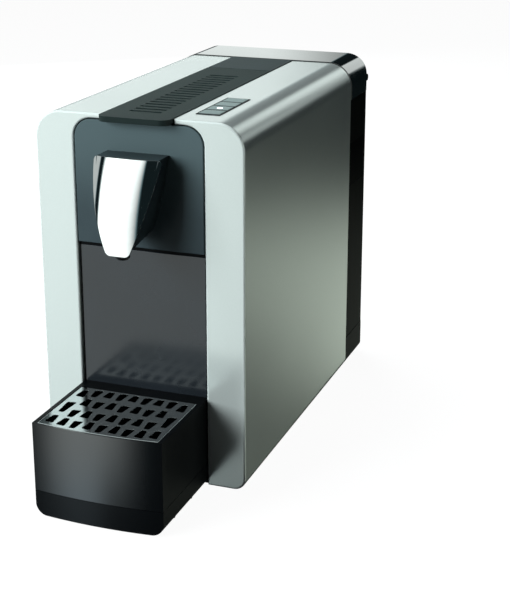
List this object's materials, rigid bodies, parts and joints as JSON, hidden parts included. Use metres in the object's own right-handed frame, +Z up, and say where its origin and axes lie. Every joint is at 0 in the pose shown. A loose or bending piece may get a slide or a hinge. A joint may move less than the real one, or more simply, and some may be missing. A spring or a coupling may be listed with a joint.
{
  "type": "pod coffee machine",
  "caption": "Narrow upright pod coffee machine with silver side panels, a lever on top, a chromed spout, a drip tray drawer with a pod bin and a lift-off rear water tank.",
  "frame": {"origin": "centre of the machine's outline on the table, level with the soles of its feet", "axes": "+X across the machine to the right as the user faces its front, +Y from the front to the rear, +Z up"},
  "size_m": [0.145, 0.356, 0.252],
  "materials": {
    "silver_lacquer": "satin metallic lacquer",
    "charcoal_plastic": "semi-gloss",
    "lever_plastic": "fine matte",
    "black_plastic": "satin",
    "inner_plastic": "matte",
    "chromed_plastic": "mirror",
    "gloss_black": "high gloss",
    "smoked_plastic": "gloss, near black",
    "key_plastic": "satin",
    "light_lens": "lit diffuser",
    "steel": "ground",
    "boiler_metal": "cast",
    "brass_fitting": "turned",
    "rubber_black": "matte",
    "seal_red": "matte silicone",
    "hose_silicone": "translucent silicone",
    "board_green": "solder mask",
    "pump_plastic": "moulded"
  },
  "bodies": {
    "housing": {"base_pan": "black_plastic", "tray_plinth": "black_plastic", "tank_ledge": "black_plastic", "feet": "rubber_black", "drawer_bay": "inner_plastic", "side_panel_left": "silver_lacquer", "side_panel_right": "silver_lacquer", "rear_wall": "inner_plastic", "front_panel": "charcoal_plastic", "spout_housing": "charcoal_plastic", "spout_cover": "chromed_plastic", "spout_nozzle": "black_plastic", "top_channel": "black_plastic", "hinge_cover": "lever_plastic", "lever_pin": "steel", "keypad_bezel": "black_plastic", "key_board": "board_green", "brew_frame": "inner_plastic", "brew_head": "black_plastic", "head_seal": "seal_red", "inlet_sleeve": "brass_fitting", "boiler": "boiler_metal", "pump": "pump_plastic", "pump_mounts": "rubber_black", "flow_meter": "inner_plastic", "control_board": "board_green", "suction_hose": "hose_silicone", "feed_hose": "hose_silicone", "pressure_hose": "hose_silicone", "hot_hose": "hose_silicone", "tank_seat": "inner_plastic", "cord_gland": "rubber_black", "screws": "steel"},
    "lever": {"lever": "lever_plastic", "crank_pin": "steel"},
    "toggle": {"toggle_links": "steel", "link_pin": "steel"},
    "chamber": {"brew_chamber": "inner_plastic"},
    "water_tank": {"tank": "smoked_plastic", "tank_valve": "inner_plastic", "valve_ring": "rubber_black", "tank_filter": "inner_plastic", "lid_pin": "steel"},
    "lid": {"tank_lid": "gloss_black"},
    "drawer": {"drip_tray": "black_plastic", "pod_bin": "inner_plastic", "bin_front": "charcoal_plastic"},
    "grille": {"cup_grille": "chromed_plastic"},
    "key_one": {"key_1": "key_plastic"},
    "key_two": {"key_2": "key_plastic", "key_light": "light_lens"},
    "key_three": {"key_3": "key_plastic"},
    "key_four": {"key_4": "key_plastic"}
  },
  "joints": [
    {"name": "lever_hinge", "type": "hinge", "parent": "housing", "child": "lever", "pos_m": [0, 0.065, 0.2455], "axis": [-1, 0, 0], "range_deg": [0, 78]},
    {"name": "toggle_hinge", "type": "hinge", "parent": "lever", "child": "toggle", "pos_m": [0, 0.04414, 0.23363], "axis": [1, 0, 0], "range_deg": [0, 106.45]},
    {"name": "brew_slide", "type": "slide", "parent": "housing", "child": "chamber", "axis": [0, 1, 0], "range_m": [0, 0.03357]},
    {"name": "tank_lift", "type": "slide", "parent": "housing", "child": "water_tank", "axis": [0, 0, 1], "range_m": [0, 0.15]},
    {"name": "lid_hinge", "type": "hinge", "parent": "water_tank", "child": "lid", "pos_m": [0, 0.175, 0.2271], "axis": [-1, 0, 0], "range_deg": [0, 95]},
    {"name": "drawer_slide", "type": "slide", "parent": "housing", "child": "drawer", "axis": [0, -1, 0], "range_m": [0, 0.12]},
    {"name": "grille_lift", "type": "slide", "parent": "drawer", "child": "grille", "axis": [0, 0, 1], "range_m": [0, 0.03]},
    {"name": "key_1_press", "type": "slide", "parent": "housing", "child": "key_one", "axis": [0, 0, -1], "range_m": [0, 0.001], "stiffness_N_per_m": 800, "springref_m": -0.0005},
    {"name": "key_2_press", "type": "slide", "parent": "housing", "child": "key_two", "axis": [0, 0, -1], "range_m": [0, 0.001], "stiffness_N_per_m": 800, "springref_m": -0.0005},
    {"name": "key_3_press", "type": "slide", "parent": "housing", "child": "key_three", "axis": [0, 0, -1], "range_m": [0, 0.001], "stiffness_N_per_m": 800, "springref_m": -0.0005},
    {"name": "key_4_press", "type": "slide", "parent": "housing", "child": "key_four", "axis": [0, 0, -1], "range_m": [0, 0.001], "stiffness_N_per_m": 800, "springref_m": -0.0005}
  ],
  "couplings": [
    {"joint": "toggle_hinge", "follows": "lever_hinge", "ratio": 1.3646},
    {"joint": "brew_slide", "follows": "lever_hinge", "m_per_rad": 0.024649}
  ]
}
